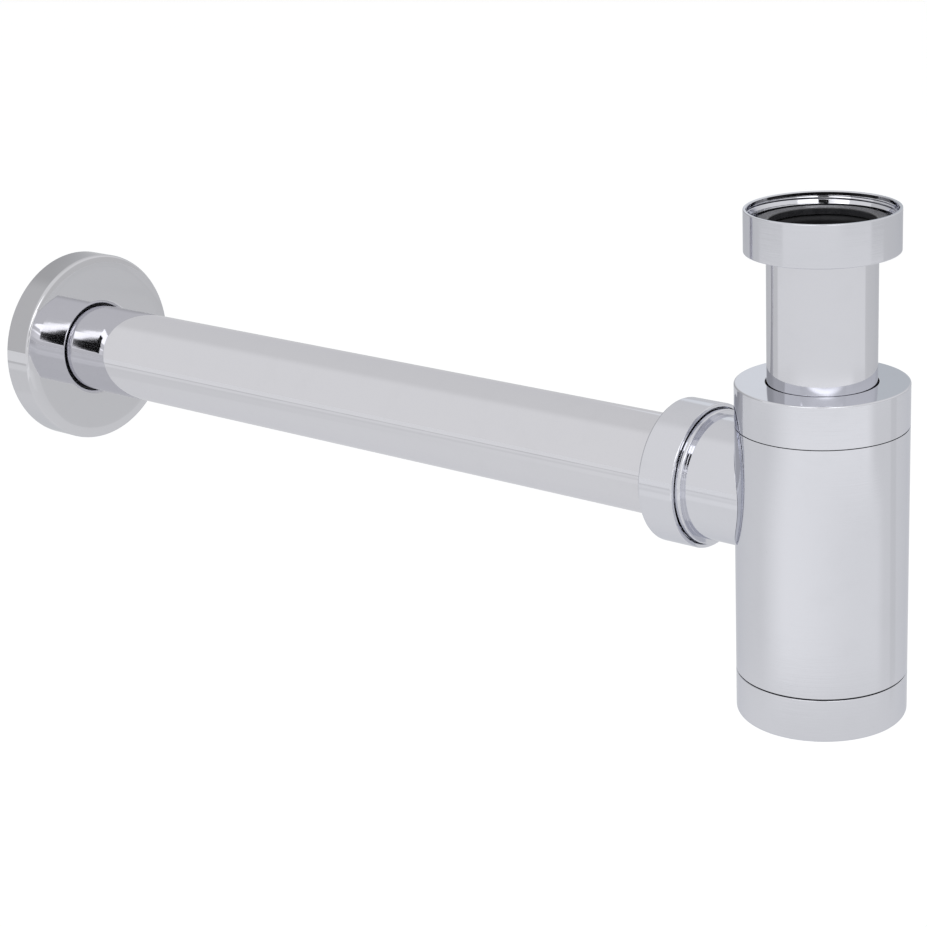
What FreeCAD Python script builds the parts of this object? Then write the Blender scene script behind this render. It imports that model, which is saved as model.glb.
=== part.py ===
"""Chromed bottle trap for a wash basin, with its wall tube and wall rosette.

Millimetres. +Z is up and is the bottle's axis. +Y points to the wall, along the wall tube.
The origin is the centre of the inlet nut's mouth, where the basin's waste screws in.
"""
import FreeCAD
import Part
import Sketcher
import os
import re

doc = FreeCAD.newDocument("bottle_trap")
sheet = doc.addObject("Spreadsheet::Sheet", "Sizes")

SIZES = {
    # Inlet tube and wall tube, one size of tube
    "tube_radius": 16.0,
    "tube_wall": 1.0,
    "tube_grip_gap": 0.05,
    "tube_hole_gap": 0.4,
    "slip_ring_gap": 0.3,
    "dip_gap": 10.0,
    "wall_tube_length": 300.0,
    "wall_tube_end_gap": 0.6,
    "wall_gap": 0.5,
    # Union nuts, one at the inlet and one at the outlet, with a G 1 1/4 thread of 2.309 mm pitch
    "union_thread_rise": 4.95,
    "union_thread_gap": 0.05,
    "union_mouth_chamfer": 0.25,
    "nut_wall": 1.55,
    "nut_shoulder": 3.8,
    "nut_edge": 0.8,
    # Inlet union, measured down from the mouth of its nut
    "inlet_thread_end": 3.5,
    "inlet_undercut": 0.35,
    "inlet_washer_depth": 3.6,
    "inlet_washer_thickness": 2.0,
    "washer_bore_gap": 0.5,
    "flange_width": 3.2,
    "flange_thickness": 1.6,
    "flange_bend": 1.9,
    "inlet_ring_thickness": 1.6,
    # Bottle: the cap's flat top is this far below the inlet nut's mouth
    "cap_depth": 51.2,
    "water_gap": 8.0,
    "bottle_wall": 1.5,
    "bottle_length": 76.3,
    "braze_gap": 0.05,
    # Necks with the fine threads that carry the cap and the cup
    "neck_thread_gap": 0.06,
    "neck_insert": 7.4,
    "upper_neck_bore_gap": 2.0,
    "upper_neck_chamfer": 0.3,
    "lower_neck_wall": 1.5,
    "lower_neck_length": 8.0,
    "lower_neck_chamfer": 0.6,
    # Top cap
    "cap_height": 13.0,
    "cap_wall": 2.25,
    "cap_plate": 2.8,
    "cap_edge": 0.9,
    "cap_gap": 0.15,
    "pressure_ring_thickness": 1.2,
    # Conical seal under the cap
    "cap_seal_side_gap": 0.3,
    "cap_seal_taper": 2.5,
    "cap_seal_cone": 3.5,
    "cap_seal_height": 5.0,
    "cap_seat_depth": 3.0,
    # Bottom cup and its flat seal
    "cup_height": 13.8,
    "cup_floor": 2.0,
    "cup_edge": 2.0,
    "cup_gap": 0.5,
    "cup_rim_wall": 0.95,
    "cup_rebate_depth": 1.0,
    "cup_seal_gap": 0.3,
    "rim_edge": 0.25,
    # Outlet spigot, measured from the bottle's axis
    "outlet_drop": 23.05,
    "stub_rise": 3.2,
    "stub_length": 36.2,
    "outlet_thread_length": 8.6,
    "spigot_chamfer": 0.6,
    "socket_depth": 15.2,
    "outlet_seat_depth": 2.4,
    "outlet_seat_rise": 3.4,
    # Conical seal and slip ring of the outlet union
    "outlet_seal_tip_rise": 1.4,
    "outlet_seal_rise": 3.7,
    "outlet_seal_height": 3.4,
    "outlet_ring_thickness": 1.2,
    "outlet_ring_rise": 4.5,
    # Wall rosette
    "rosette_width": 19.0,
    "rosette_depth": 11.9,
    "rosette_wall": 1.5,
    "rosette_edge": 3.5,
    "rosette_inner_bevel": 0.6,
    "rosette_hole_gap": 0.6,
    "rosette_lip": 2.2,
    "rosette_lip_edge": 2.0,
    "rosette_collar_gap": 1.9,
    "rosette_collar_wall": 1.2,
    "rosette_collar_depth": 7.6,
    "rosette_ring_gap": 0.05,
    "rosette_ring_length": 4.4,
}

for row, (alias, number) in enumerate(SIZES.items(), start=1):
    sheet.set(f"A{row}", alias)
    sheet.set(f"B{row}", str(number))
    sheet.setAlias(f"B{row}", alias)
doc.recompute()


def bound(text):
    """Turn an outline's words, such as nut_height - nut_shoulder, into references to the sheet."""
    return re.sub(r"[a-z][a-z_]*[a-z]", lambda word: "Sizes." + word.group(0), text)


# Radii, most of them built up from the tube
TUBE_BORE = "(tube_radius - tube_wall)"
TUBE_HOLE = "(tube_radius + tube_hole_gap)"
TUBE_GRIP = "(tube_radius + tube_grip_gap)"
RING_BORE = "(tube_radius + slip_ring_gap)"
FLANGE_RADIUS = "(tube_radius + flange_width)"
UNION_THREAD = "(tube_radius + union_thread_rise)"
UNION_MOUTH = f"({UNION_THREAD} + union_mouth_chamfer)"
NUT_RADIUS = f"({UNION_THREAD} + nut_wall)"
BOTTLE_RADIUS = "(tube_radius + water_gap + bottle_wall)"
INSERT_RADIUS = f"({BOTTLE_RADIUS} - bottle_wall - braze_gap)"
NECK_THREAD = f"({BOTTLE_RADIUS} - cap_wall)"
NECK_BORE_IN_CAP = f"({NECK_THREAD} + neck_thread_gap)"
CAP_SEAL_RADIUS = f"({NECK_THREAD} - cap_seal_side_gap)"
CAP_SEAL_TIP = f"({CAP_SEAL_RADIUS} - cap_seal_taper)"
CUP_REBATE = f"({BOTTLE_RADIUS} - cup_rim_wall)"
STUB_RADIUS = "(tube_radius + stub_rise)"
SPIGOT_THREAD = f"({UNION_THREAD} - union_thread_gap)"
OUTLET_SEAT = "(tube_radius + outlet_seat_rise)"
OUTLET_SEAL_TIP = "(tube_radius + outlet_seal_tip_rise)"
OUTLET_SEAL_RADIUS = "(tube_radius + outlet_seal_rise)"
ROSETTE_RADIUS = "(tube_radius + rosette_width)"
ROSETTE_COLLAR = "(tube_radius + rosette_collar_gap)"

# Depths below the inlet nut's mouth
FLANGE_TOP = "(inlet_washer_depth + inlet_washer_thickness)"
NUT_SHELF = f"({FLANGE_TOP} + flange_thickness + inlet_ring_thickness)"
NUT_HEIGHT = f"({NUT_SHELF} + nut_shoulder)"
BODY_TOP = "(cap_depth + cap_height + cap_gap)"
BODY_BOTTOM = f"({BODY_TOP} + bottle_length)"
CUP_RIM = f"({BODY_BOTTOM} + cup_gap)"
CUP_FLOOR = f"({CUP_RIM} + cup_height - cup_floor)"
OUTLET_AXIS = f"({BODY_TOP} + outlet_drop)"
TUBE_END = f"({CUP_FLOOR} - dip_gap)"

# Heights over the body's top, and the cone that cap seal and neck share
NECK_FACE = "(cap_height + cap_gap - cap_plate - pressure_ring_thickness)"
UPPER_NECK = f"({NECK_FACE} - cap_seal_height + cap_seat_depth)"
CAP_SEAL_SLOPE = "cap_seal_taper / cap_seal_cone"

# Distances from the bottle's axis along the outlet, each piece set against the one before it
SPIGOT_END = "(stub_length + outlet_thread_length)"
SPIGOT_RISE = f"({SPIGOT_THREAD} - {STUB_RADIUS})"
SOCKET = f"({SPIGOT_END} - socket_depth)"
OUTLET_LAND = f"({SPIGOT_END} - outlet_seat_depth)"
OUTLET_SLOPE = f"({OUTLET_SEAT} - {OUTLET_SEAL_TIP}) / outlet_seat_depth"
OUTLET_RING = f"({OUTLET_LAND} + outlet_seal_height)"
OUTLET_NUT = f"({OUTLET_RING} + outlet_ring_thickness - {NUT_SHELF})"
WALL_TUBE = f"({SOCKET} + wall_tube_end_gap)"
ROSETTE = f"({WALL_TUBE} + wall_tube_length + wall_gap - rosette_depth)"

UP = FreeCAD.Rotation()
TO_WALL = FreeCAD.Rotation(FreeCAD.Vector(1, 0, 0), -90)


def new_body(label, down="0", out="0", turn=UP):
    """Start a piece whose own origin lies this far below the mouth and this far towards the wall."""
    body = doc.addObject("PartDesign::Body", label)
    body.Label = label
    body.Placement = FreeCAD.Placement(FreeCAD.Vector(), turn)
    body.setExpression("Placement.Base.z", bound(f"-{down}"))
    body.setExpression("Placement.Base.y", bound(out))
    return body


def plane(body, role):
    """The body's own origin plane with this role."""
    return next(part for part in body.Origin.OriginFeatures if part.Role == role)


def new_sketch(body, role, name):
    """An empty sketch on one of the body's origin planes."""
    sketch = body.newObject("Sketcher::SketchObject", body.Name + name)
    sketch.AttachmentSupport = (plane(body, role), [""])
    sketch.MapMode = "FlatFace"
    return sketch


def turned(body, corners):
    """Turn a closed outline of (radius, height) corners, each tied to the sheet, about the piece's axis."""
    sketch = new_sketch(body, "XZ_Plane", "Outline")
    count = len(corners)
    start = [FreeCAD.Vector(20 + place, place * place, 0) for place in range(count)]
    for here in range(count):
        sketch.addGeometry(Part.LineSegment(start[here], start[(here + 1) % count]), False)
    for here in range(count):
        sketch.addConstraint(Sketcher.Constraint("Coincident", here, 2, (here + 1) % count, 1))
    for here, (radius, height) in enumerate(corners):
        for way, words, first in (("DistanceX", radius, start[here].x), ("DistanceY", height, start[here].y)):
            index = sketch.addConstraint(Sketcher.Constraint(way, -1, 1, here, 1, first))
            sketch.setExpression(f"Constraints[{index}]", bound(words))
    solid = body.newObject("PartDesign::Revolution", body.Name + "Turned")
    solid.Profile = sketch
    solid.ReferenceAxis = (sketch, ["V_Axis"])
    solid.Angle = 360
    sketch.Visibility = False
    doc.recompute()
    return solid


def rim(solid, outer, high):
    """Name the round edge at the outside or inside of a turned piece, at its high or low end."""
    circles = []
    for number, edge in enumerate(solid.Shape.Edges, start=1):
        if isinstance(edge.Curve, Part.Circle):
            circles.append((edge.Curve.Center.z, edge.Curve.Radius, f"Edge{number}"))
    end = max(circles)[0] if high else min(circles)[0]
    at_end = [(radius, name) for height, radius, name in circles if abs(height - end) < 1e-6]
    return max(at_end)[1] if outer else min(at_end)[1]


def rounded(body, solid, size, edges):
    """Round the named edges of a turned piece."""
    fillet = body.newObject("PartDesign::Fillet", body.Name + "Round" + size.title().replace("_", ""))
    fillet.Base = (solid, edges)
    fillet.setExpression("Radius", bound(size))
    doc.recompute()
    return fillet


def cut_round(body, role, radius, height, length, both_ways, backwards):
    """Cut a round hole square to one of the body's planes, and make sure that it removed material."""
    before = body.Shape.Volume
    sketch = new_sketch(body, role, "Hole")
    sketch.addGeometry(Part.Circle(FreeCAD.Vector(0, 10, 0), FreeCAD.Vector(0, 0, 1), 10), False)
    size = sketch.addConstraint(Sketcher.Constraint("Radius", 0, 10))
    sketch.setExpression(f"Constraints[{size}]", bound(radius))
    sketch.addConstraint(Sketcher.Constraint("DistanceX", -1, 1, 0, 3, 0))
    place = sketch.addConstraint(Sketcher.Constraint("DistanceY", -1, 1, 0, 3, 10))
    sketch.setExpression(f"Constraints[{place}]", bound(height))
    pocket = body.newObject("PartDesign::Pocket", body.Name + "Pocket")
    pocket.Profile = sketch
    pocket.setExpression("Length", bound(length))
    pocket.Midplane = both_ways
    pocket.Reversed = backwards
    sketch.Visibility = False
    doc.recompute()
    if not body.Shape.Volume < before - 1:
        raise RuntimeError(body.Label + ": the hole cut nothing")


def inlet_nut():
    """Union nut, mouth up: thread, clear recess for the washer and flange, and a shelf that lifts the tube."""
    body = new_body("inlet_nut", NUT_HEIGHT)
    solid = turned(body, [
        (TUBE_HOLE, "0"),
        (NUT_RADIUS, "0"),
        (NUT_RADIUS, NUT_HEIGHT),
        (UNION_MOUTH, NUT_HEIGHT),
        (UNION_THREAD, f"{NUT_HEIGHT} - union_mouth_chamfer"),
        (UNION_THREAD, f"{NUT_HEIGHT} - inlet_thread_end"),
        (f"{UNION_THREAD} + inlet_undercut", f"{NUT_HEIGHT} - inlet_thread_end"),
        (f"{UNION_THREAD} + inlet_undercut", "nut_shoulder"),
        (TUBE_HOLE, "nut_shoulder"),
    ])
    rounded(body, solid, "nut_edge", [rim(solid, True, False), rim(solid, True, True)])
    return body


def inlet_washer():
    """Flat rubber washer that lies on the tube's flange and seals against the basin's waste."""
    body = new_body("inlet_washer", FLANGE_TOP)
    turned(body, [
        (f"{TUBE_BORE} + washer_bore_gap", "0"),
        (FLANGE_RADIUS, "0"),
        (FLANGE_RADIUS, "inlet_washer_thickness"),
        (f"{TUBE_BORE} + washer_bore_gap", "inlet_washer_thickness"),
    ])
    return body


def inlet_tube():
    """Straight tube with a rolled flange, through the cap and down into the water of the cup."""
    length = f"({TUBE_END} - {FLANGE_TOP})"
    body = new_body("inlet_tube", TUBE_END)
    solid = turned(body, [
        (TUBE_BORE, "0"),
        ("tube_radius", "0"),
        ("tube_radius", f"{length} - flange_thickness"),
        (FLANGE_RADIUS, f"{length} - flange_thickness"),
        (FLANGE_RADIUS, length),
        (TUBE_BORE, length),
    ])
    rounded(body, solid, "flange_bend", [rim(solid, False, True)])
    return body


def inlet_slip_ring():
    """Plastic ring between flange and nut, so that the nut turns without dragging the tube round."""
    body = new_body("inlet_slip_ring", NUT_SHELF)
    turned(body, [
        (RING_BORE, "0"),
        (FLANGE_RADIUS, "0"),
        (FLANGE_RADIUS, "inlet_ring_thickness"),
        (RING_BORE, "inlet_ring_thickness"),
    ])
    return body


def top_cap():
    """Cap that screws down over the upper neck, with a hole for the inlet tube in its flat top."""
    body = new_body("top_cap", "(cap_depth + cap_height)")
    solid = turned(body, [
        (NECK_BORE_IN_CAP, "0"),
        (BOTTLE_RADIUS, "0"),
        (BOTTLE_RADIUS, "cap_height"),
        (TUBE_HOLE, "cap_height"),
        (TUBE_HOLE, "cap_height - cap_plate"),
        (NECK_BORE_IN_CAP, "cap_height - cap_plate"),
    ])
    solid = rounded(body, solid, "cap_edge", [rim(solid, True, True)])
    rounded(body, solid, "rim_edge", [rim(solid, True, False)])
    return body


def cap_pressure_ring():
    """Hard ring under the cap's plate that presses the seal down without twisting it."""
    body = new_body("cap_pressure_ring", "(cap_depth + cap_plate + pressure_ring_thickness)")
    turned(body, [
        (RING_BORE, "0"),
        (CAP_SEAL_RADIUS, "0"),
        (CAP_SEAL_RADIUS, "pressure_ring_thickness"),
        (RING_BORE, "pressure_ring_thickness"),
    ])
    return body


def cap_seal():
    """Conical rubber seal that grips the inlet tube and sits in the upper neck's cone."""
    body = new_body("cap_seal", f"({BODY_TOP} - {UPPER_NECK} + cap_seat_depth)")
    turned(body, [
        (TUBE_GRIP, "0"),
        (CAP_SEAL_TIP, "0"),
        (CAP_SEAL_RADIUS, "cap_seal_cone"),
        (CAP_SEAL_RADIUS, "cap_seal_height"),
        (TUBE_GRIP, "cap_seal_height"),
    ])
    return body


def bottle_body():
    """Straight tube, open at both ends, with a hole in its side for the outlet spigot."""
    body = new_body("bottle_body", BODY_BOTTOM)
    turned(body, [
        (f"{BOTTLE_RADIUS} - bottle_wall", "0"),
        (BOTTLE_RADIUS, "0"),
        (BOTTLE_RADIUS, "bottle_length"),
        (f"{BOTTLE_RADIUS} - bottle_wall", "bottle_length"),
    ])
    cut_round(body, "XZ_Plane", TUBE_BORE, "bottle_length - outlet_drop", BOTTLE_RADIUS, False, False)
    return body


def upper_neck_ring():
    """Threaded ring brazed into the body's top, with the cone and the ledge that the cap's seal sits in."""
    body = new_body("upper_neck_ring", f"({BODY_TOP} + neck_insert)")
    top = f"(neck_insert + {UPPER_NECK})"
    turned(body, [
        ("tube_radius + upper_neck_bore_gap", "0"),
        (INSERT_RADIUS, "0"),
        (INSERT_RADIUS, "neck_insert"),
        (NECK_THREAD, "neck_insert"),
        (NECK_THREAD, f"{top} - upper_neck_chamfer"),
        (f"{NECK_THREAD} - upper_neck_chamfer", top),
        (f"{CAP_SEAL_TIP} + {CAP_SEAL_SLOPE} * cap_seat_depth", top),
        (CAP_SEAL_TIP, f"{top} - cap_seat_depth"),
        ("tube_radius + upper_neck_bore_gap", f"{top} - cap_seat_depth"),
    ])
    return body


def lower_neck_ring():
    """Threaded ring brazed into the body's foot, for the cup."""
    body = new_body("lower_neck_ring", f"({BODY_BOTTOM} + lower_neck_length)")
    turned(body, [
        (f"{NECK_THREAD} - lower_neck_wall", "0"),
        (f"{NECK_THREAD} - lower_neck_chamfer", "0"),
        (NECK_THREAD, "lower_neck_chamfer"),
        (NECK_THREAD, "lower_neck_length"),
        (INSERT_RADIUS, "lower_neck_length"),
        (INSERT_RADIUS, "lower_neck_length + neck_insert"),
        (f"{NECK_THREAD} - lower_neck_wall", "lower_neck_length + neck_insert"),
    ])
    return body


def bottom_cup():
    """Cup that unscrews to clean the trap, with a rebate in its rim for the flat seal."""
    body = new_body("bottom_cup", f"({CUP_RIM} + cup_height)")
    solid = turned(body, [
        ("0", "0"),
        (BOTTLE_RADIUS, "0"),
        (BOTTLE_RADIUS, "cup_height"),
        (CUP_REBATE, "cup_height"),
        (CUP_REBATE, "cup_height - cup_rebate_depth"),
        (NECK_BORE_IN_CAP, "cup_height - cup_rebate_depth"),
        (NECK_BORE_IN_CAP, "cup_floor"),
        ("0", "cup_floor"),
    ])
    solid = rounded(body, solid, "cup_edge", [rim(solid, True, False)])
    rounded(body, solid, "rim_edge", [rim(solid, True, True)])
    return body


def cup_seal():
    """Flat rubber ring between cup and body, whose edge shows as a dark line round the bottle."""
    body = new_body("cup_seal", f"({CUP_RIM} + cup_rebate_depth)")
    thickness = "cup_rebate_depth + cup_gap"
    turned(body, [
        (NECK_BORE_IN_CAP, "0"),
        (f"{CUP_REBATE} - cup_seal_gap", "0"),
        (f"{CUP_REBATE} - cup_seal_gap", thickness),
        (NECK_BORE_IN_CAP, thickness),
    ])
    return body


def outlet_spigot():
    """Side stub, cut to a saddle on the bottle, with the union's thread, a seal seat and the tube's socket."""
    body = new_body("outlet_spigot", OUTLET_AXIS, "0", TO_WALL)
    turned(body, [
        (TUBE_BORE, "0"),
        (STUB_RADIUS, "0"),
        (STUB_RADIUS, "stub_length"),
        (SPIGOT_THREAD, f"stub_length + {SPIGOT_RISE}"),
        (SPIGOT_THREAD, f"{SPIGOT_END} - spigot_chamfer"),
        (f"{SPIGOT_THREAD} - spigot_chamfer", SPIGOT_END),
        (OUTLET_SEAT, SPIGOT_END),
        (OUTLET_SEAL_TIP, OUTLET_LAND),
        (TUBE_HOLE, OUTLET_LAND),
        (TUBE_HOLE, SOCKET),
        (TUBE_BORE, SOCKET),
    ])
    cut_round(body, "XZ_Plane", BOTTLE_RADIUS, "0", "bottle_length", True, False)
    return body


def outlet_seal():
    """Conical rubber seal that grips the wall tube in the spigot's mouth."""
    body = new_body("outlet_seal", OUTLET_AXIS, OUTLET_LAND, TO_WALL)
    cone = f"({OUTLET_SEAL_RADIUS} - {OUTLET_SEAL_TIP}) / ({OUTLET_SLOPE})"
    turned(body, [
        (TUBE_GRIP, "0"),
        (OUTLET_SEAL_TIP, "0"),
        (OUTLET_SEAL_RADIUS, cone),
        (OUTLET_SEAL_RADIUS, "outlet_seal_height"),
        (TUBE_GRIP, "outlet_seal_height"),
    ])
    return body


def outlet_slip_ring():
    """Plastic ring between the seal and the outlet nut's shelf."""
    body = new_body("outlet_slip_ring", OUTLET_AXIS, OUTLET_RING, TO_WALL)
    turned(body, [
        (RING_BORE, "0"),
        ("tube_radius + outlet_ring_rise", "0"),
        ("tube_radius + outlet_ring_rise", "outlet_ring_thickness"),
        (RING_BORE, "outlet_ring_thickness"),
    ])
    return body


def outlet_nut():
    """Union nut on the spigot, mouth towards the bottle, with the thread down to its shelf."""
    body = new_body("outlet_nut", OUTLET_AXIS, OUTLET_NUT, TO_WALL)
    solid = turned(body, [
        (UNION_MOUTH, "0"),
        (NUT_RADIUS, "0"),
        (NUT_RADIUS, NUT_HEIGHT),
        (TUBE_HOLE, NUT_HEIGHT),
        (TUBE_HOLE, NUT_SHELF),
        (UNION_THREAD, NUT_SHELF),
        (UNION_THREAD, "union_mouth_chamfer"),
    ])
    rounded(body, solid, "nut_edge", [rim(solid, True, False), rim(solid, True, True)])
    return body


def wall_tube():
    """Straight tube from the spigot's socket to the wall."""
    body = new_body("wall_tube", OUTLET_AXIS, WALL_TUBE, TO_WALL)
    turned(body, [
        (TUBE_BORE, "0"),
        ("tube_radius", "0"),
        ("tube_radius", "wall_tube_length"),
        (TUBE_BORE, "wall_tube_length"),
    ])
    return body


def rosette():
    """Flat round wall cover, open behind, with a rounded edge and a collar that holds its grip ring."""
    body = new_body("rosette", OUTLET_AXIS, ROSETTE, TO_WALL)
    hole = "tube_radius + rosette_hole_gap"
    collar = f"{ROSETTE_COLLAR} + rosette_collar_wall"
    solid = turned(body, [
        (hole, "0"),
        (ROSETTE_RADIUS, "0"),
        (ROSETTE_RADIUS, "rosette_depth"),
        (f"{ROSETTE_RADIUS} - rosette_wall", "rosette_depth"),
        (f"{ROSETTE_RADIUS} - rosette_wall", "rosette_wall + rosette_inner_bevel"),
        (f"{ROSETTE_RADIUS} - rosette_wall - rosette_inner_bevel", "rosette_wall"),
        (collar, "rosette_wall"),
        (collar, "rosette_collar_depth"),
        (ROSETTE_COLLAR, "rosette_collar_depth"),
        (ROSETTE_COLLAR, "rosette_lip"),
        (hole, "rosette_lip"),
    ])
    solid = rounded(body, solid, "rosette_edge", [rim(solid, True, False)])
    rounded(body, solid, "rosette_lip_edge", [rim(solid, False, False)])
    return body


def rosette_ring():
    """Rubber ring in the rosette's collar that grips the wall tube."""
    body = new_body("rosette_ring", OUTLET_AXIS, f"({ROSETTE} + rosette_lip)", TO_WALL)
    turned(body, [
        (TUBE_GRIP, "0"),
        (f"{ROSETTE_COLLAR} - rosette_ring_gap", "0"),
        (f"{ROSETTE_COLLAR} - rosette_ring_gap", "rosette_ring_length"),
        (TUBE_GRIP, "rosette_ring_length"),
    ])
    return body


PIECES = [
    inlet_nut(),
    inlet_washer(),
    inlet_tube(),
    inlet_slip_ring(),
    top_cap(),
    cap_pressure_ring(),
    cap_seal(),
    bottle_body(),
    upper_neck_ring(),
    lower_neck_ring(),
    bottom_cup(),
    cup_seal(),
    outlet_spigot(),
    outlet_seal(),
    outlet_slip_ring(),
    outlet_nut(),
    wall_tube(),
    rosette(),
    rosette_ring(),
]

doc.recompute()
for item in doc.Objects:
    if "Invalid" in item.State or "Error" in item.State:
        raise RuntimeError(item.Name + " failed to build: " + str(item.State))

os.makedirs("parts", exist_ok=True)
for piece in PIECES:
    shape = piece.Shape
    if shape.isNull() or not shape.isValid() or len(shape.Solids) != 1:
        raise RuntimeError(piece.Label + " is not one valid solid")
    box = shape.BoundBox
    print(f"{piece.Label:18s} volume {shape.Volume:9.1f}  y {box.YMin:7.2f} {box.YMax:7.2f}"
          f"  z {box.ZMin:8.2f} {box.ZMax:7.2f}")
    shape.exportStep(f"parts/{piece.Label}.step")
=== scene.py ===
"""Chromed bottle trap for a wash basin, dressed for its picture. Metres, in the part's own frame."""
import math
import bpy
import numpy as np
from mathutils import Matrix


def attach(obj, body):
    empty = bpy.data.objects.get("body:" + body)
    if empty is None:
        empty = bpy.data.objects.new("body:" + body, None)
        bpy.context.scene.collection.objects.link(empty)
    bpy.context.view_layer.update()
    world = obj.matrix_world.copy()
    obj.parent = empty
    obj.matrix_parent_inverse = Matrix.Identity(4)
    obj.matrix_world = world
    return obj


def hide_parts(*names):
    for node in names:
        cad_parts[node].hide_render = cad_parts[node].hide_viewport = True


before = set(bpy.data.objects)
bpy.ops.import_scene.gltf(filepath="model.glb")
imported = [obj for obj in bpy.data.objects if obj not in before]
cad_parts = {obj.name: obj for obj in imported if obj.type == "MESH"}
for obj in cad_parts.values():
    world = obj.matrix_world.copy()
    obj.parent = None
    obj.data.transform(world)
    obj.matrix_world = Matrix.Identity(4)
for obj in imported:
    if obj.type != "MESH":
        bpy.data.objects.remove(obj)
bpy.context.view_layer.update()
scene = bpy.context.scene


# The camera: a long lens at about waist height, looking down past the bottle towards the wall.
# Its place was worked out from the outlines of the tubes, nuts and rosette.
camera_data = bpy.data.cameras.new("camera")
camera_data.lens = 91.0688
camera_data.sensor_width = 36.0
camera_data.clip_start = 0.01
camera = bpy.data.objects.new("camera", camera_data)
scene.collection.objects.link(camera)
to_right = (0.6441631484, -0.7635081395, -0.0459508002)
to_down = (-0.2701854769, -0.1709259824, -0.9475107686)
to_front = (0.7155803966, 0.6227715465, -0.3163950537)
stands_at = (-0.559810, -0.348063, 0.145846)
camera.matrix_world = Matrix([
    (right, -down, -front, at) for right, down, front, at in zip(to_right, to_down, to_front, stands_at)
] + [(0.0, 0.0, 0.0, 1.0)])
scene.camera = camera


# The studio: a white tent lit from all round, dimmer towards the far wall and low on one side, with
# two soft panels hung beyond the bottle. Polished metal shows nothing but such a room and its table.
def node_tree_of(holder):
    """Empty a world's or material's nodes and return its tree."""
    holder.use_nodes = True
    holder.node_tree.nodes.clear()
    return holder.node_tree


def place_of(tree, kind):
    """Give the three coordinates of the shaded point, or of the direction looked in."""
    where = tree.nodes.new("ShaderNodeTexCoord")
    split = tree.nodes.new("ShaderNodeSeparateXYZ")
    tree.links.new(where.outputs[kind], split.inputs[0])
    return split.outputs


def math_node(tree, operation, *values):
    """Add a Math node, wire or set its inputs, and return its output."""
    node = tree.nodes.new("ShaderNodeMath")
    node.operation = operation
    for socket, value in zip(node.inputs, values):
        if isinstance(value, (int, float)):
            socket.default_value = value
        else:
            tree.links.new(value, socket)
    return node.outputs[0]


def times(tree, *values):
    """Multiply several values."""
    product = values[0]
    for value in values[1:]:
        product = math_node(tree, "MULTIPLY", product, value)
    return product


def plus(tree, *values):
    """Add several values."""
    total = values[0]
    for value in values[1:]:
        total = math_node(tree, "ADD", total, value)
    return total


def greater(tree, one, two):
    """Give the greater of two values."""
    return math_node(tree, "MAXIMUM", one, two)


def step_node(tree, value, low, high, at_low=0.0, at_high=1.0):
    """Add a smooth step of a value from one level to another."""
    node = tree.nodes.new("ShaderNodeMapRange")
    node.interpolation_type = "SMOOTHSTEP"
    tree.links.new(value, node.inputs["Value"])
    for name, number in zip(("From Min", "From Max", "To Min", "To Max"), (low, high, at_low, at_high)):
        node.inputs[name].default_value = number
    return node.outputs["Result"]


def between(tree, value, low, high, soft):
    """Give 1 between two values and 0 outside them, with soft ends."""
    return times(tree, step_node(tree, value, low - soft, low + soft),
                 step_node(tree, value, high - soft, high + soft, 1.0, 0.0))


def across_angle(tree, east, north, middle):
    """Give the angle round the upright axis, counted from a middle direction in degrees."""
    turn = math_node(tree, "ARCTAN2", east, north)
    from_middle = math_node(tree, "SUBTRACT", turn, math.radians(middle))
    return math_node(tree, "WRAP", from_middle, math.pi, -math.pi)


def mixed(tree, first, second, factor):
    """Mix two colours by a factor."""
    node = tree.nodes.new("ShaderNodeMix")
    node.data_type = "RGBA"
    node.inputs["A"].default_value = (*first, 1.0)
    node.inputs["B"].default_value = (*second, 1.0)
    tree.links.new(factor, node.inputs["Factor"])
    return node.outputs["Result"]


def mirror_rays(tree, seen):
    """Say which rays come by way of polished metal."""
    return greater(tree, seen.outputs["Is Glossy Ray"], seen.outputs["Is Transmission Ray"])


def lead_out(tree, shader, output="ShaderNodeOutputMaterial"):
    """Lead a shader to the output of its tree."""
    tree.links.new(shader, tree.nodes.new(output).inputs["Surface"])


TENT_LEVEL, FILL_LEVEL, BACKDROP_LEVEL = 0.835, 0.80, 1.0
tent = bpy.data.worlds.new("tent")
scene.world = tent
tree = node_tree_of(tent)
east, north, up = place_of(tree, "Generated")
beyond = across_angle(tree, east, north, 58.0)
far_wall = times(tree, step_node(tree, east, -0.15, 0.12), step_node(tree, north, -0.3, 0.1), -0.105)
wall_end = step_node(tree, north, 0.740, 0.758, 0.0, -0.24)
dim_side = times(tree, step_node(tree, up, 0.02, 0.35, 1.0, 0.0), step_node(tree, north, -0.1, -0.4),
                 step_node(tree, east, 0.0, 0.2), -0.20)
panel_height = between(tree, up, 0.19, 0.45, 0.03)
left_panel = times(tree, between(tree, beyond, -0.072, 0.0, 0.012), panel_height)
right_panel = times(tree, between(tree, beyond, 0.0, 0.20, 0.012), panel_height)
level = plus(tree, TENT_LEVEL, far_wall, wall_end, dim_side, times(tree, left_panel, 0.18),
             times(tree, right_panel, -0.08))
seen = tree.nodes.new("ShaderNodeLightPath")
by_camera = seen.outputs["Is Camera Ray"]
shown = greater(tree, by_camera, mirror_rays(tree, seen))
lighting = tree.nodes.new("ShaderNodeBackground")
lighting.inputs["Color"].default_value = (0.985, 0.992, 1.0, 1.0)
lighting.inputs["Strength"].default_value = FILL_LEVEL
backdrop = tree.nodes.new("ShaderNodeBackground")
plain = tree.nodes.new("ShaderNodeMix")
plain.data_type = "FLOAT"
tree.links.new(by_camera, plain.inputs["Factor"])
tree.links.new(level, plain.inputs["A"])
plain.inputs["B"].default_value = BACKDROP_LEVEL
tree.links.new(plain.outputs["Result"], backdrop.inputs["Strength"])
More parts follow.
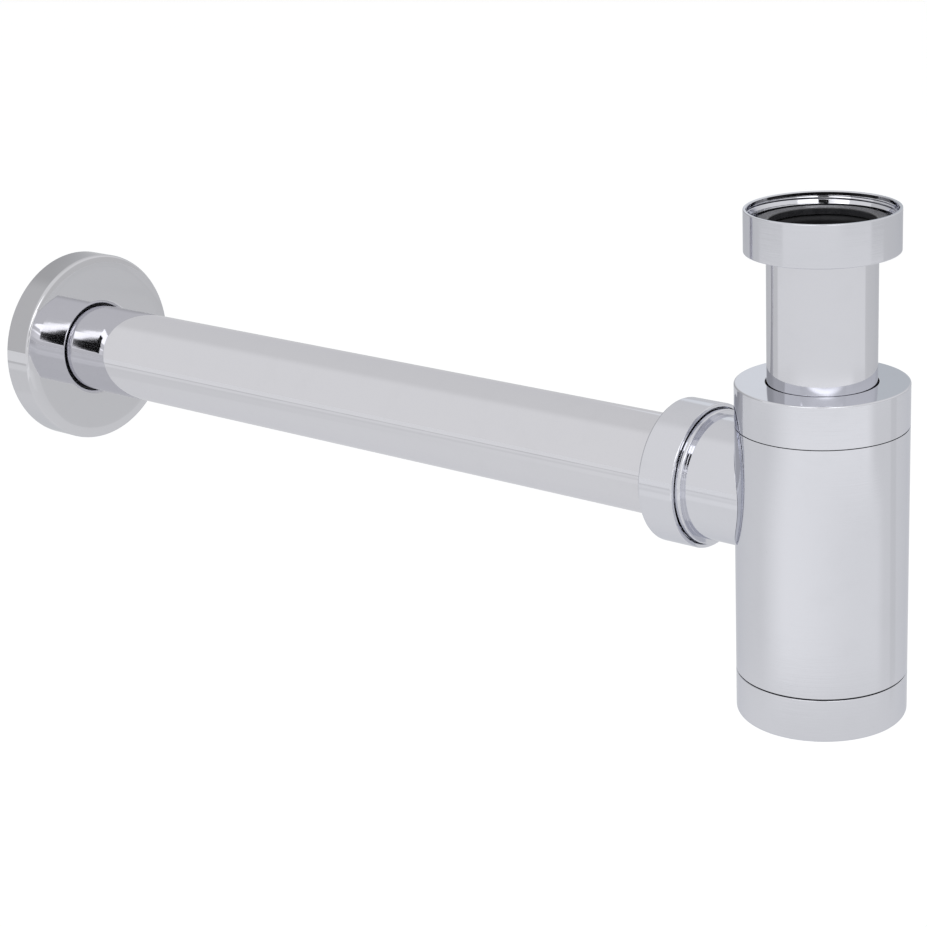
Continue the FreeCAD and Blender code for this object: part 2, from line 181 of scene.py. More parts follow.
on_panels = plus(tree, times(tree, left_panel, 0.55), right_panel)
coolness = math_node(tree, "MINIMUM", on_panels, math_node(tree, "SUBTRACT", 1.0, by_camera))
tree.links.new(mixed(tree, (1.0, 1.0, 1.0), (0.955, 0.995, 1.02), coolness), backdrop.inputs["Color"])
both = tree.nodes.new("ShaderNodeMixShader")
tree.links.new(shown, both.inputs["Fac"])
tree.links.new(lighting.outputs[0], both.inputs[1])
tree.links.new(backdrop.outputs[0], both.inputs[2])
lead_out(tree, both.outputs[0], "ShaderNodeOutputWorld")

softbox_data = bpy.data.lights.new("overhead_softbox", "AREA")
softbox_data.shape = "RECTANGLE"
softbox_data.size, softbox_data.size_y = 1.6, 1.6
softbox_data.energy = 8.0
softbox = bpy.data.objects.new("overhead_softbox", softbox_data)
softbox.location = (-0.3, -0.2, 2.0)
softbox.visible_glossy = False
scene.collection.objects.link(softbox)


# The table: white paper well below the trap. How bright it looks in the metal is painted light: a glow seen
# only in the metal, painted in rings round the bottle, each of them brighter over a part of its turn.
def stage_sheet(name, sheets, hidden=False):
    """Make flat sheets of the studio, each from its corners. A hidden one shows only in the metal."""
    vertices = [corner for sheet in sheets for corner in sheet]
    faces, count = [], 0
    for sheet in sheets:
        faces.append(tuple(range(count, count + len(sheet))))
        count += len(sheet)
    mesh = bpy.data.meshes.new(name)
    mesh.from_pydata(vertices, [], faces)
    made = bpy.data.objects.new(name, mesh)
    scene.collection.objects.link(made)
    if hidden:
        made.visible_camera = made.visible_diffuse = made.visible_shadow = False
    return made


TABLE_REACH, TABLE_HEIGHT, TABLE_CORNERS = 9.0, -0.60, 64
table_top = stage_sheet("table_top", [[
    (TABLE_REACH * math.cos(turn), TABLE_REACH * math.sin(turn), TABLE_HEIGHT)
    for turn in (index * 2 * math.pi / TABLE_CORNERS for index in range(TABLE_CORNERS))]])
paper = bpy.data.materials.new("white_paper")
tree = node_tree_of(paper)
x, y, _ = place_of(tree, "Object")
reach = math_node(tree, "SQRT", plus(tree, times(tree, x, x), times(tree, y, y)))
aside = across_angle(tree, x, y, -131.0)
near = step_node(tree, reach, 1.02, 1.10, 1.0, 0.0)
ring = between(tree, reach, 1.06, 1.86, 0.04)
middle = between(tree, reach, 1.86, 2.46, 0.05)
outer = between(tree, reach, 2.46, 2.78, 0.05)
beyond = step_node(tree, reach, 2.73, 2.83)
narrower = step_node(tree, reach, 1.45, 1.60)
left_edge = plus(tree, aside, times(tree, narrower, 0.25))
right_edge = plus(tree, aside, times(tree, narrower, -0.30))
# A painted pool of light in the paper's glow, brighter on the camera's side of the bottle.
painted_light_pool = times(tree, step_node(tree, left_edge, 0.95, 1.80, 1.0, 0.0),
             step_node(tree, right_edge, -1.45, -1.15))
slope = greater(tree, step_node(tree, aside, -0.75, 1.0), narrower)
painted_pool_level = times(tree, painted_light_pool, plus(tree, 0.088, times(tree, slope, 0.095)))
in_near = times(tree, near, plus(tree, 0.765, times(tree, step_node(tree, aside, 0.8, 1.5), 0.025)))
in_ring = times(tree, ring, plus(tree, 0.757, painted_pool_level))
in_middle = times(tree, middle, plus(tree, 0.69, times(tree, between(tree, aside, -1.65, 1.96, 0.05), 0.155)))
in_outer = times(tree, outer, plus(tree, 0.68, times(tree, between(tree, aside, -1.13, 1.18, 0.05), 0.155)))
in_beyond = times(tree, beyond, plus(tree, 0.72, times(tree, between(tree, aside, -0.3, 1.95, 0.2), 0.19)))
base = plus(tree, in_near, in_ring, in_middle, in_outer, in_beyond)

# A painted shade streak runs out over the paper's glow in the metal from under the rosette.
from_wall = plus(tree, y, -0.32)
wall_turn = math_node(tree, "ARCTAN2", x, times(tree, from_wall, -1.0))
wall_reach = math_node(tree, "SQRT", plus(tree, times(tree, x, x), times(tree, from_wall, from_wall)))
painted_shade_streak = times(tree, between(tree, wall_turn, 0.60, 0.81, 0.02), step_node(tree, wall_reach, 1.1, 1.3))
base = math_node(tree, "MINIMUM", base, plus(tree, 1.2, times(tree, painted_shade_streak, -0.50)))

PAPER_LIT, CAMERA_GLOW = 0.64, 0.42
# Painted light: the metal sees the painted rings' level above the paper's lit level as a glow.
painted_light_glow = greater(tree, plus(tree, base, -PAPER_LIT), 0.0)
seen = tree.nodes.new("ShaderNodeLightPath")
shown = plus(tree, times(tree, seen.outputs["Is Camera Ray"], CAMERA_GLOW),
             times(tree, mirror_rays(tree, seen), painted_light_glow))
skin = tree.nodes.new("ShaderNodeBsdfPrincipled")
skin.inputs["Base Color"].default_value = (0.72, 0.72, 0.72, 1.0)
skin.inputs["Roughness"].default_value = 0.9
skin.inputs["Emission Color"].default_value = (1.0, 1.0, 1.0, 1.0)
tree.links.new(shown, skin.inputs["Emission Strength"])
lead_out(tree, skin.outputs[0])
table_top.data.materials.append(paper)


# The lamp behind the camera is a broad white panel that fades to its ends, and before it hangs a dark
# cloth, whole above and in strips edge on to the bottle below. They show only where light folds twice.
ACROSS = (0.6565, -0.7543)
LAMP_MIDDLE, CLOTH_MIDDLE = (-0.633, -0.413), (-0.5955, -0.3805)


def upright(middle, corners):
    """Place an upright sheet square to the camera's line from its (sideways, height) corners."""
    return [(middle[0] + side * ACROSS[0], middle[1] + side * ACROSS[1], height) for side, height in corners]


lamp_panel = stage_sheet("lamp_panel", [upright(LAMP_MIDDLE, [
    (-0.95, -0.04), (0.75, -0.04), (0.75, 0.30), (0.20, 0.52), (0.36, 0.745), (0.47, 0.865), (0.50, 0.905),
    (0.30, 0.95), (-0.95, 0.95)])], hidden=True)
LAMP_LEVEL, LAMP_RISE = 0.80, 1.12
lamp_white = bpy.data.materials.new("lamp_white")
tree = node_tree_of(lamp_white)
x, y, z = place_of(tree, "Object")
sideways = plus(tree, times(tree, x, ACROSS[0]), times(tree, y, ACROSS[1]), 0.104)
fading = times(tree, step_node(tree, sideways, -0.78, -0.12), step_node(tree, sideways, 0.10, 0.74, 1.0, 0.0))
belt = times(tree, step_node(tree, z, 0.115, 0.145, 0.25, 1.0), step_node(tree, z, 0.165, 0.185, 1.0, 0.10))
stripe = times(tree, between(tree, sideways, 0.065, 0.15, 0.012), step_node(tree, z, 0.24, 0.27))
shoulder = times(tree, step_node(tree, z, 0.27, 0.31), step_node(tree, sideways, -0.13, -0.07))
above = times(tree, between(tree, sideways, -0.90, 0.60, 0.06),
              greater(tree, step_node(tree, z, 0.38, 0.42), shoulder))
bright = greater(tree, greater(tree, times(tree, fading, belt), above), stripe)
glare = tree.nodes.new("ShaderNodeEmission")
glare.inputs["Color"].default_value = (1.0, 1.0, 1.0, 1.0)
tree.links.new(plus(tree, LAMP_LEVEL, times(tree, bright, LAMP_RISE)), glare.inputs["Strength"])
lead_out(tree, glare.outputs[0])
lamp_panel.data.materials.append(lamp_white)

CLOTH_SEAM, CLOTH_FOOT = 0.25, -0.025
STRIPS, STRIP_SPACING, STRIP_DEPTH = 24, 0.0100, 0.034
strips = [upright(CLOTH_MIDDLE, [
    (-0.19, CLOTH_SEAM), (0.045, CLOTH_SEAM), (0.052, 0.270), (0.088, 0.356), (0.149, 0.477), (0.207, 0.567),
    (-0.05, 0.567)])]
for index in range(STRIPS):
    side = -0.20 + index * STRIP_SPACING
    x, y = CLOTH_MIDDLE[0] + side * ACROSS[0], CLOTH_MIDDLE[1] + side * ACROSS[1]
    nearer, farther = 1 - STRIP_DEPTH / math.hypot(x, y), 1 + STRIP_DEPTH / math.hypot(x, y)
    foot = CLOTH_FOOT + max(0.0, (side + 0.034) / 0.064 * 0.225)
    strips.append([(x * k, y * k, height) for k, height in (
        (nearer, foot), (farther, foot), (farther, CLOTH_SEAM), (nearer, CLOTH_SEAM))])
dark_strips = stage_sheet("dark_strips", strips, hidden=True)
dark_cloth = bpy.data.materials.new("dark_cloth")
tree = node_tree_of(dark_cloth)
skin = tree.nodes.new("ShaderNodeBsdfPrincipled")
skin.inputs["Base Color"].default_value = (0.012, 0.012, 0.012, 1.0)
skin.inputs["Roughness"].default_value = 1.0
skin.inputs["Specular IOR Level"].default_value = 0.0
lead_out(tree, skin.outputs[0])
dark_strips.data.materials.append(dark_cloth)


# The two union nuts: turned and bored from brass bar, threaded inside, polished and chromed all over.
# The inlet nut's mouth is open above a short thread, and the outlet nut is run up on the spigot.
OUTLET_AXIS = -87.4
UNION_BORE, UNION_PITCH, UNION_DEPTH = 20.95, 2.309, 1.479
ARC_STEPS = 10


def direction(corners, index):
    """Give the unit run from one corner of a closed outline to the next."""
    run = np.array(corners[(index + 1) % len(corners)][:2]) - np.array(corners[index % len(corners)][:2])
    return run / np.linalg.norm(run)


def half_angle(corners, index):
    """Give half the angle that an outline makes at a corner."""
    cosine = float(-direction(corners, index - 1) @ direction(corners, index))
    return 0.5 * math.acos(max(-1.0, min(1.0, cosine)))


def set_back(corners, index):
    """Give how far before a corner its rounding starts."""
    rounding = corners[index % len(corners)][2]
    return rounding / math.tan(half_angle(corners, index)) if rounding > 0 else 0.0


def outline_of(corners):
    """Round a closed outline of (radius, height, rounding, rows) corners, which keeps metal on its left.

    Gives the points, and for each stretch the normals at its two ends.
    """
    full = [(*corner, *(0.0, 1)[len(corner) - 2:]) for corner in corners]
    points, normals = [], []
    for here, (_, _, rounding, rows) in enumerate(full):
        corner, after = np.array(full[here][:2]), np.array(full[(here + 1) % len(full)][:2])
        run_in, run_out = direction(full, here - 1), direction(full, here)
        if rounding > 0:
            half = half_angle(full, here)
            inwards = (run_out - run_in) / np.linalg.norm(run_out - run_in)
            middle = corner + inwards * rounding / math.sin(half)
            way = 1.0 if run_in[0] * run_out[1] - run_in[1] * run_out[0] > 0 else -1.0
            swing = way * (math.pi - 2 * half)
            arm = corner - run_in * set_back(full, here) - middle
            arms = []
            for turn in (swing * i / ARC_STEPS for i in range(ARC_STEPS + 1)):
                cos, sin = math.cos(turn), math.sin(turn)
                arms.append(np.array([arm[0] * cos - arm[1] * sin, arm[0] * sin + arm[1] * cos]))
            for one, two in zip(arms, arms[1:]):
                points.append(middle + one)
                normals.append((way * one / rounding, way * two / rounding))
            points.append(middle + arms[-1])
        else:
            points.append(corner)
        begin, end = points[-1], after - run_out * set_back(full, here + 1)
        side = np.array([run_out[1], -run_out[0]])
        normals.extend([(side, side)] * rows)
        points.extend(begin + (end - begin) * (row + 1) / rows for row in range(rows - 1))
    return points, normals


def turned_piece(name, corners, along="z", bend=None, segments=192):
    """Turn an outline in millimetres about the bottle's or the outlet's axis. A bend shifts its points."""
    points, normals = outline_of(corners)
    rows = len(points)
    angle = np.linspace(0.0, 2 * math.pi, segments, endpoint=False)
    radius = np.repeat(np.array([point[0] for point in points])[:, None], segments, axis=1)
    height = np.repeat(np.array([point[1] for point in points])[:, None], segments, axis=1)
    bent = np.zeros(rows, dtype=bool)
    if bend is not None:
        moved_radius, moved_height = bend(radius, height, angle[None, :])
        bent = (np.abs(moved_radius - radius) + np.abs(moved_height - height)).max(axis=1) > 1e-9
        radius, height = moved_radius, moved_height

    def placed(out, up):
        """Lay turned coordinates along the piece's axis."""
        x, y, up = out * np.cos(angle), out * np.sin(angle), up + 0 * out
        return np.stack([x, y, up] if along == "z" else [x, up, -y], axis=-1)

    on_axis = [k for k in range(rows) if radius[k].max() < 1e-9]
    grid = placed(radius, height)
    if along == "y":
        grid[..., 2] += OUTLET_AXIS
    vertices, first = [], []
    for k in range(rows):
        first.append(len(vertices))
        vertices.extend(grid[k][:1].tolist() if k in on_axis else grid[k].tolist())
    faces, shading = [], []
    for k in range(rows):
        k2 = (k + 1) % rows
        if k in on_axis and k2 in on_axis:
            continue
        soft = bent[k] and bent[k2]
        one, two = (placed(np.full(segments, out), np.full(segments, up)) for out, up in normals[k])
        for j in range(segments):
            j2 = (j + 1) % segments
            if k in on_axis:
                face, shades = (first[k], first[k2] + j2, first[k2] + j), (one[j], two[j2], two[j])
            elif k2 in on_axis:
                face, shades = (first[k] + j, first[k] + j2, first[k2]), (one[j], one[j2], two[j])
            else:
                face = (first[k] + j, first[k] + j2, first[k2] + j2, first[k2] + j)
                shades = (one[j], one[j2], two[j2], two[j])
            faces.append(face)
            shading.extend([(0.0, 0.0, 0.0)] * len(face) if soft else [tuple(shade) for shade in shades])
    mesh = bpy.data.meshes.new(name)
    mesh.from_pydata([[v * 0.001 for v in vertex] for vertex in vertices], [], faces)
    mesh.validate()
    mesh.polygons.foreach_set("use_smooth", [True] * len(mesh.polygons))
    mesh.normals_split_custom_set(shading)
    mesh.update()
    piece = bpy.data.objects.new(name, mesh)
    scene.collection.objects.link(piece)
    return piece


def finish_piece(piece, body, node, slot, *materials):
    """Give a piece its finish, set it on its body and let it stand for its solid."""
    for material in materials:
        piece.data.materials.append(material)
    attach(piece, body)
    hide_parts(node)


def thread_form(height, angle, pitch):
    """Height of a right-handed thread, from 0 at its root to 1 at its crest."""
    phase = height / pitch - angle / (2 * math.pi)
    ridge = np.abs(2 * (phase - np.floor(phase)) - 1) * 0.96
    flank = np.clip((ridge - 0.16) / 0.64, 0.0, 1.0)
    return 0.5 * flank + 0.5 * flank * flank * (3 - 2 * flank)


def threaded(radius, height, at, start, end, run_out, slack=0.02):
    """Say which points lie on a threaded stretch, and how fully its thread is cut there."""
    inside = (np.abs(radius - at) < slack) & (height > start - 1e-6) & (height < end + 1e-6)
    return inside, np.clip(np.minimum(height - start, end - height) / run_out, 0.0, 1.0)


def outlet_nut_thread(radius, height, angle):
    """Bend the outlet nut's bore into its union thread, with a lead at its mouth."""
    mouth, end = 39.3, 47.0
    inside, ease = threaded(radius, height, UNION_BORE, mouth, end, 0.35)
    depth = UNION_DEPTH * (1 - thread_form(height, angle, UNION_PITCH))
    lead = UNION_BORE - 2.0 * np.abs(height - mouth)
    cut = np.maximum(UNION_BORE - depth, lead)
    return np.where(inside, UNION_BORE + (cut - UNION_BORE) * ease, radius), height


def mouth_thread(radius, height, angle):
    """Bend the inlet nut's tapered bore into the first turns of its thread, with narrow roots."""
    mouth, foot, mean_radius, taper = -1.2, -3.5, 21.11, 0.41
    inside, ease = threaded(radius, height, mean_radius, foot, mouth, 0.3, slack=taper)
    root = np.clip(1 - thread_form(height + 0.75, angle, UNION_PITCH) * 1.9, 0.0, 1.0)
    return np.where(inside, radius + 0.55 * root * ease, radius), height


def polish_group():
    """Make the polish that all the chromed pieces share: faint tool lines, waviness and handling marks."""
    group = bpy.data.node_groups.new("polish", "ShaderNodeTree")
    for name, usual in (("Along X", 1.0), ("Along Y", 1.0), ("Along Z", 1.0), ("Line Depth", 0.2),
                        ("Smudge", 0.03), ("Roughness", 0.05), ("Shade", 0.03)):
        socket = group.interface.new_socket(name=name, in_out="INPUT", socket_type="NodeSocketFloat")
        socket.default_value = usual
    for name in ("Height", "Roughness", "Tone"):
        group.interface.new_socket(name=name, in_out="OUTPUT", socket_type="NodeSocketFloat")
    start, end = group.nodes.new("NodeGroupInput"), group.nodes.new("NodeGroupOutput")
    where = group.nodes.new("ShaderNodeTexCoord")
    stretch = group.nodes.new("ShaderNodeVectorMath")
    stretch.operation = "MULTIPLY"
    scales = group.nodes.new("ShaderNodeCombineXYZ")
    for index, name in enumerate(("Along X", "Along Y", "Along Z")):
        group.links.new(start.outputs[name], scales.inputs[index])
    group.links.new(where.outputs["Object"], stretch.inputs[0])
    group.links.new(scales.outputs[0], stretch.inputs[1])

    def noise(vector, scale, detail, roughness=0.5):
        """Add a noise over the surface."""
        node = group.nodes.new("ShaderNodeTexNoise")
        node.inputs["Scale"].default_value = scale
        node.inputs["Detail"].default_value = detail
        node.inputs["Roughness"].default_value = roughness
        group.links.new(vector, node.inputs["Vector"])
        return node.outputs["Fac"]

    lines = noise(stretch.outputs[0], 1.0, 3.0, 0.6)
    waves = noise(where.outputs["Object"], 38.0, 2.0)
    marks = noise(where.outputs["Object"], 95.0, 5.0, 0.62)
    specks = noise(where.outputs["Object"], 900.0, 2.0)
    smudge = step_node(group, marks, 0.50, 0.72)
    dust = step_node(group, specks, 0.70, 0.80)
    height = plus(group, times(group, lines, start.outputs["Line Depth"]), times(group, waves, 0.9))
    rough = plus(group, start.outputs["Roughness"], times(group, smudge, start.outputs["Smudge"]),
                 times(group, lines, 0.02), times(group, dust, 0.05))
    shade = times(group, plus(group, smudge, times(group, lines, 0.6)), start.outputs["Shade"])
    tone = math_node(group, "SUBTRACT", 1.0, plus(group, shade, times(group, dust, 0.03)))
    for name, value in (("Height", height), ("Roughness", rough), ("Tone", tone)):
        group.links.new(value, end.inputs[name])
    return group


polish = polish_group()


def bumped(tree, height, strength, depth):
    """Turn a height into a normal."""
    bump = tree.nodes.new("ShaderNodeBump")
    bump.inputs["Strength"].default_value = strength
    bump.inputs["Distance"].default_value = depth
    tree.links.new(height, bump.inputs["Height"])
    return bump.outputs[0]


def chrome(name, face, edge, stretch, line_depth=0.16, smudge=0.02, roughness=0.045, shade=0.015):
    """Make polished chrome: its colour seen square on and at its edges, and which way its tool lines run."""
    material = bpy.data.materials.new(name)
    tree = node_tree_of(material)
    skin = tree.nodes.new("ShaderNodeBsdfPrincipled")
    skin.inputs["Metallic"].default_value = 1.0
    skin.inputs["Specular Tint"].default_value = (*edge, 1.0)
    marks = tree.nodes.new("ShaderNodeGroup")
    marks.node_tree = polish
    for socket_name, number in zip(
            ("Along X", "Along Y", "Along Z", "Line Depth", "Smudge", "Roughness", "Shade"),
            (*stretch, line_depth, smudge, roughness, shade)):
        marks.inputs[socket_name].default_value = number
    tree.links.new(mixed(tree, (0.0, 0.0, 0.0), face, marks.outputs["Tone"]), skin.inputs["Base Color"])
    tree.links.new(marks.outputs["Roughness"], skin.inputs["Roughness"])
    tree.links.new(bumped(tree, marks.outputs["Height"], 0.25, 0.00012), skin.inputs["Normal"])
    lead_out(tree, skin.outputs[0])
    return material


TURNED_FACE, TURNED_EDGE = (0.745, 0.750, 0.796), (0.84, 0.85, 0.88)
chrome_upright = chrome("chrome_turned_upright", TURNED_FACE, TURNED_EDGE, (25.0, 25.0, 5200.0))
chrome_outlet = chrome("chrome_turned_outlet", TURNED_FACE, TURNED_EDGE, (25.0, 5200.0, 25.0))

inlet_nut = turned_piece("inlet_nut_chromed", [
    (16.4, -12.6), (22.5, -12.6, 0.4), (22.5, 0.0, 0.25), (21.7, 0.0, 0.1), (21.5, -0.25),
    (21.5, -1.2, 0.0, 48), (20.72, -3.5), (21.3, -3.5), (21.3, -8.8, 0.15), (16.4, -8.8, 0.15)],
    bend=mouth_thread, segments=256)
finish_piece(inlet_nut, "inlet_nut", "inlet_nut", "chrome", chrome_upright)

outlet_nut = turned_piece("outlet_nut_chromed", [
    (21.35, 38.2, 0.15), (22.5, 38.2, 0.5), (22.5, 50.8, 0.8), (16.4, 50.8, 0.15), (16.4, 47.0, 0.1),
    (UNION_BORE, 47.0, 0.0, 70), (UNION_BORE, 39.3), (21.2, 39.2)],
    along="y", bend=outlet_nut_thread, segments=256)
finish_piece(outlet_nut, "outlet_nut", "outlet_nut", "chrome", chrome_outlet)


# The inlet tube: drawn brass tube, chromed outside, with a rolled flange inside its union nut.
# A rubber washer lies on the flange and a plastic slip ring under it, and its foot dips in the water.
chrome_tube_upright = chrome("chrome_drawn_upright", (0.748, 0.750, 0.792), (0.84, 0.85, 0.87),
                             (2600.0, 2600.0, 18.0), line_depth=0.10, smudge=0.018, shade=0.012)


def plain_coat(name, colour, other, scale, rough, metallic=0.0, depth=0.0004, stretch=(1.0, 1.0, 1.0)):
    """Make a matt finish whose colour and roughness drift a little over the surface."""
    material = bpy.data.materials.new(name)
    tree = node_tree_of(material)
    skin = tree.nodes.new("ShaderNodeBsdfPrincipled")
    skin.inputs["Metallic"].default_value = metallic
    where = tree.nodes.new("ShaderNodeTexCoord")
    longer = tree.nodes.new("ShaderNodeVectorMath")
    longer.operation = "MULTIPLY"
    longer.inputs[1].default_value = stretch
    tree.links.new(where.outputs["Object"], longer.inputs[0])
    grain = tree.nodes.new("ShaderNodeTexNoise")
    grain.inputs["Scale"].default_value = scale
    grain.inputs["Detail"].default_value = 5.0
    grain.inputs["Roughness"].default_value = 0.6
    tree.links.new(longer.outputs[0], grain.inputs["Vector"])
    drift = grain.outputs["Fac"]
    tree.links.new(mixed(tree, colour, other, step_node(tree, drift, 0.3, 0.7)), skin.inputs["Base Color"])
    tree.links.new(step_node(tree, drift, 0.3, 0.7, rough - 0.06, rough + 0.06), skin.inputs["Roughness"])
    tree.links.new(bumped(tree, drift, 0.4, depth), skin.inputs["Normal"])
    lead_out(tree, skin.outputs[0])
    return material


# The bores are bare of chrome, and their near-black colour is painted shade for the dark deep inside the
# tubes.
bore_painted_shade = plain_coat("bore_painted_shade", (0.016, 0.016, 0.018), (0.028, 0.028, 0.031), 160.0, 0.55, metallic=0.6)
grey_rubber = plain_coat("grey_rubber", (0.030, 0.030, 0.033), (0.048, 0.048, 0.053), 900.0, 0.42,
                         depth=0.00006)
washer_rubber = plain_coat("washer_rubber", (0.034, 0.034, 0.038), (0.046, 0.046, 0.051), 300.0, 0.30,
                           depth=0.000004)
milky_plastic = plain_coat("milky_plastic", (0.70, 0.70, 0.67), (0.78, 0.78, 0.75), 240.0, 0.38,
                           depth=0.00004)
BORE_SLOT = 1


def paint_bore_shade(piece, limit, along="z", top=math.inf):
    """Give the faces of a bore the bore finish, bare of chrome and near-black with painted shade, below a top
    if one is given.
    """
    for face in piece.data.polygons:
        x, y, z = face.center
        out = math.hypot(x, y) if along == "z" else math.hypot(x, z - OUTLET_AXIS * 0.001)
        if out < limit * 0.001 and z < top * 0.001:
            face.material_index = BORE_SLOT


inlet_tube = turned_piece("inlet_tube_chromed", [
    (15.0, -142.95), (16.0, -142.95, 0.2), (16.0, -7.2, 0.35), (19.2, -7.2, 0.25), (19.2, -5.6, 0.25),
    (15.0, -5.6, 1.9)], segments=256)
finish_piece(inlet_tube, "inlet_tube", "inlet_tube", "chrome", chrome_tube_upright, bore_painted_shade)
paint_bore_shade(inlet_tube, 15.5, top=-7.4)
# The rolled flange's bend under the washer gets the near-black bore finish too: painted shade.
for face in inlet_tube.data.polygons:
    x, y, z = face.center
    slanted = math.hypot(face.normal.x, face.normal.y) > 0.02 and face.normal.z > -0.02
    if z > -0.00745 and math.hypot(x, y) < 0.0172 and slanted:
        face.material_index = BORE_SLOT

washer = turned_piece("inlet_washer_rubber", [
    (15.5, -5.6, 0.2), (19.2, -5.6, 0.25), (19.2, -3.6, 0.3), (15.5, -3.6, 0.3)])
finish_piece(washer, "inlet_tube", "inlet_washer", "rubber", washer_rubber)

slip_ring = turned_piece("inlet_slip_ring_plastic", [
    (16.3, -8.8, 0.15), (19.2, -8.8, 0.2), (19.2, -7.2, 0.2), (16.3, -7.2, 0.15)])
finish_piece(slip_ring, "inlet_slip_ring", "inlet_slip_ring", "plastic", milky_plastic)


# The top cap: turned from brass, with a flat top, a small round edge and a fine thread inside.
# Under its plate a hard brass ring presses a conical rubber seal round the inlet tube.
NECK_PITCH, NECK_DEPTH = 1.5, 0.5


def neck_thread(outer, start, end):
    """Bend a neck's side or a cap's bore into the fine thread between two heights."""
    def bend(radius, height, angle):
        inside, ease = threaded(radius, height, outer, start, end, 0.4)
        depth = NECK_DEPTH * (1 - thread_form(height, angle, NECK_PITCH))
        return np.where(inside, radius - depth * ease, radius), height
    return bend


top_cap = turned_piece("top_cap_chromed", [
    (23.31, -64.2, 0.15), (25.5, -64.2, 0.25), (25.5, -51.33, 0.5), (21.0, -51.2, 220.0), (16.4, -51.2, 0.2),
    (16.4, -54.0), (23.31, -54.0, 0.0, 60)],
    bend=neck_thread(23.31, -63.9, -55.4))
finish_piece(top_cap, "top_cap", "top_cap", "chrome", chrome_upright)

turned_brass = plain_coat("turned_brass", (0.66, 0.46, 0.20), (0.74, 0.55, 0.28), 1.0, 0.24,
                          metallic=1.0, depth=0.00005, stretch=(40.0, 40.0, 2600.0))
pressure_ring = turned_piece("cap_pressure_ring_turned", [
    (16.3, -55.2, 0.15), (22.95, -55.2, 0.2), (22.95, -54.0, 0.2), (16.3, -54.0, 0.15)])
finish_piece(pressure_ring, "cap_pressure_ring", "cap_pressure_ring", "brass", turned_brass)

cap_seal = turned_piece("cap_seal_rubber", [
    (16.05, -60.2, 0.15), (20.45, -60.2, 0.2), (22.95, -56.7, 0.25), (22.95, -55.2, 0.25),
    (16.05, -55.2, 0.2)])
finish_piece(cap_seal, "bottle", "cap_seal", "rubber", grey_rubber)


# The bottle: a straight piece of thin brass tube, polished and chromed, open at both ends.
# Threaded brass rings are brazed into its two ends for the cap and the cup.
bottle_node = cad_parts["bottle_body"]
bottle_node.data.materials.clear()
bottle_node.data.materials.append(chrome_upright)

upper_neck = turned_piece("upper_neck_turned", [
    (18.0, -71.75), (23.95, -71.75), (23.95, -64.35), (23.25, -64.35, 0.0, 48), (23.25, -57.5),
    (22.95, -57.2), (22.59, -57.2), (20.45, -60.2), (18.0, -60.2)],
    bend=neck_thread(23.25, -64.35, -57.5))
finish_piece(upper_neck, "bottle", "upper_neck_ring", "brass", turned_brass)

lower_neck = turned_piece("lower_neck_turned", [
    (21.75, -148.65), (22.65, -148.65), (23.25, -148.05, 0.0, 50), (23.25, -140.65), (23.95, -140.65),
    (23.95, -133.25), (21.75, -133.25)],
    bend=neck_thread(23.25, -148.05, -140.65))
finish_piece(lower_neck, "bottle", "lower_neck_ring", "brass", turned_brass)


# The bottom cup: turned from brass, screwed on by hand so that the trap can be cleaned.
# A flat rubber ring lies in its rim, and its edge shows as a dark line round the bottle.
bottom_cup = turned_piece("bottom_cup_chromed", [
    (0.0, -154.95), (25.5, -154.95, 2.0), (25.5, -141.15, 0.25), (24.55, -141.15, 0.1), (24.55, -142.15),
    (23.31, -142.15, 0.0, 80), (23.31, -152.95, 0.6), (0.0, -152.95)],
    bend=neck_thread(23.31, -152.2, -142.4))
finish_piece(bottom_cup, "bottom_cup", "bottom_cup", "chrome", chrome_upright)

cup_seal = turned_piece("cup_seal_rubber", [
    (23.31, -142.15, 0.15), (24.25, -142.15, 0.15), (24.25, -140.65, 0.2), (23.31, -140.65, 0.15)])
finish_piece(cup_seal, "cup_seal", "cup_seal", "rubber", grey_rubber)


# The outlet spigot: a turned stub, cut to a saddle and brazed on the bottle's side, then chromed.
# Its threaded end shows in the nut's mouth, and a conical seal sits in its seat round the wall tube.
BOTTLE_RADIUS, SPIGOT_RADIUS = 25.5, 20.9


def spigot_form(radius, height, angle):
    """Bend the stub's foot to the bottle's side, and its end into the union thread."""
    saddle = np.sqrt(np.maximum(BOTTLE_RADIUS ** 2 - (radius * np.cos(angle)) ** 2, 0.0))
    inside, ease = threaded(radius, height, SPIGOT_RADIUS, 38.4, 44.2, 0.5)
    depth = UNION_DEPTH * (1 - thread_form(height, angle, UNION_PITCH))
    return np.where(inside, radius - depth * ease, radius), np.where(height < 0.5, height + saddle, height)


spigot = turned_piece("outlet_spigot_chromed", [
    (15.0, 0.0), (19.2, 0.0, 0.2), (19.2, 36.3, 0.1), (SPIGOT_RADIUS, 36.3, 0.55),
    (SPIGOT_RADIUS, 38.4, 0.0, 52), (SPIGOT_RADIUS, 44.2), (20.3, 44.8), (19.4, 44.8), (17.4, 42.4),
    (16.4, 42.4), (16.4, 29.6), (15.0, 29.6)],
    along="y", bend=spigot_form, segments=256)
finish_piece(spigot, "bottle", "outlet_spigot", "chrome", chrome_outlet, bore_painted_shade)
paint_bore_shade(spigot, 17.0, "y")

outlet_seal = turned_piece("outlet_seal_rubber", [
    (16.05, 42.4, 0.15), (17.4, 42.4, 0.15), (19.7, 45.16, 0.1), (19.7, 45.8, 0.1), (16.05, 45.8, 0.15)],
    along="y")
finish_piece(outlet_seal, "bottle", "outlet_seal", "rubber", grey_rubber)

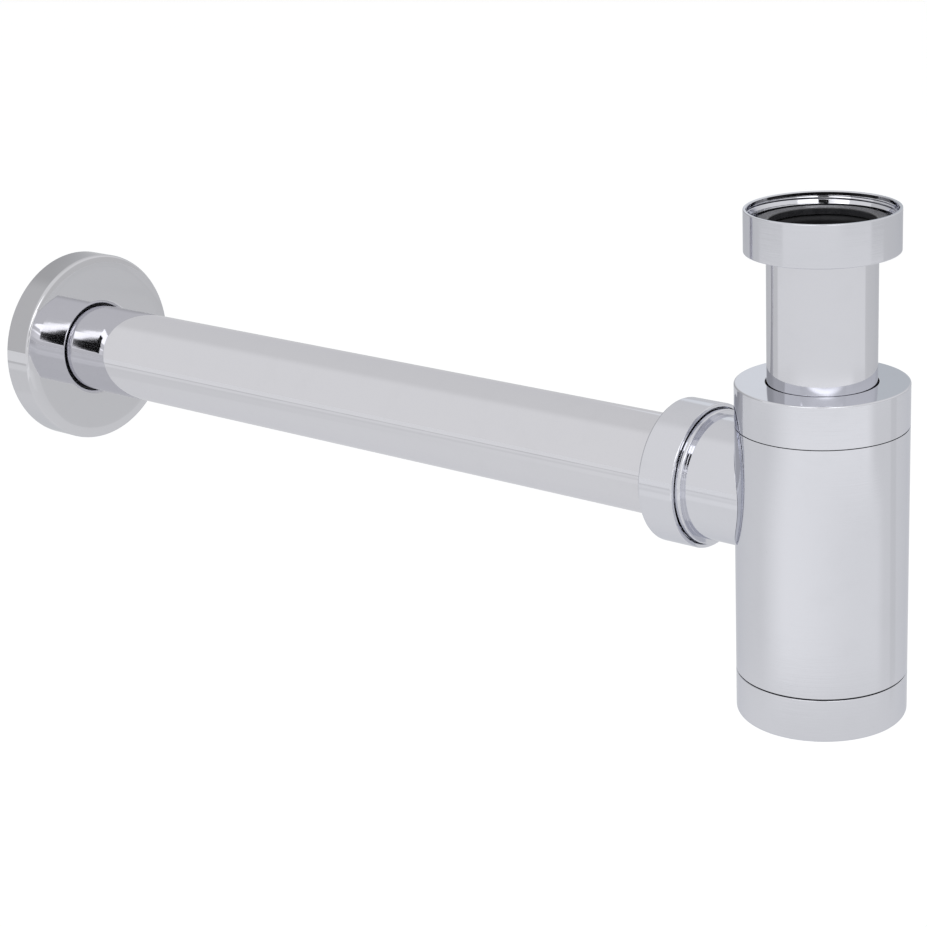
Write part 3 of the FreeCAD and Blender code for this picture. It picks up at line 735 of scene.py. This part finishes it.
outlet_ring = turned_piece("outlet_slip_ring_plastic", [
    (16.3, 45.8, 0.15), (20.5, 45.8, 0.15), (20.5, 47.0, 0.15), (16.3, 47.0, 0.15)], along="y")
finish_piece(outlet_ring, "outlet_slip_ring", "outlet_slip_ring", "plastic", milky_plastic)


# The wall tube: the same drawn brass tube as the inlet's, 300 mm long and chromed outside.
# One end is pushed into the spigot's seal, and the other runs through the rosette into the wall.
chrome_tube_outlet = chrome("chrome_drawn_outlet", (0.748, 0.746, 0.782), (0.90, 0.90, 0.92),
                            (2600.0, 18.0, 2600.0), line_depth=0.06, smudge=0.012, roughness=0.025,
                            shade=0.012)
wall_tube = turned_piece("wall_tube_chromed", [
    (15.0, 30.2, 0.15), (16.0, 30.2, 0.2), (16.0, 330.2, 0.2), (15.0, 330.2, 0.15)], along="y", segments=256)
finish_piece(wall_tube, "wall_tube", "wall_tube", "chrome", chrome_tube_outlet, bore_painted_shade)
paint_bore_shade(wall_tube, 15.5, "y")


# The wall rosette: pressed from brass sheet and chromed, with a face that is all but flat and a rim
# turned back to the wall. A rubber ring in the collar behind its hole grips the wall tube.
# The rosette's chrome is a darker copy of the turned chrome: painted shade over the whole rosette.
chrome_rosette_painted_shade = chrome("chrome_pressed_painted_shade", (0.705, 0.705, 0.735), (0.82, 0.83, 0.85), (60.0, 60.0, 60.0),
                        line_depth=0.15, smudge=0.012, roughness=0.025, shade=0.012)
rosette = turned_piece("rosette_chromed", [
    (16.45, 318.91, 1.7), (31.8, 318.8, 20.0), (35.0, 319.36, 1.1), (35.0, 330.7, 0.2), (33.5, 330.7, 0.2),
    (33.5, 320.9), (32.9, 320.3), (19.1, 320.3), (19.1, 326.4, 0.2), (17.9, 326.4, 0.2), (17.9, 321.0),
    (16.45, 321.0)], along="y", segments=256)
finish_piece(rosette, "rosette", "rosette", "chrome", chrome_rosette_painted_shade)

ring = turned_piece("rosette_ring_rubber", [
    (16.05, 321.0, 0.2), (17.85, 321.0, 0.2), (17.85, 325.4, 0.2), (16.05, 325.4, 0.2)], along="y")
finish_piece(ring, "rosette", "rosette_ring", "rubber", grey_rubber)


# The close: plain colours as they are lit.
scene.view_settings.view_transform = "Standard"
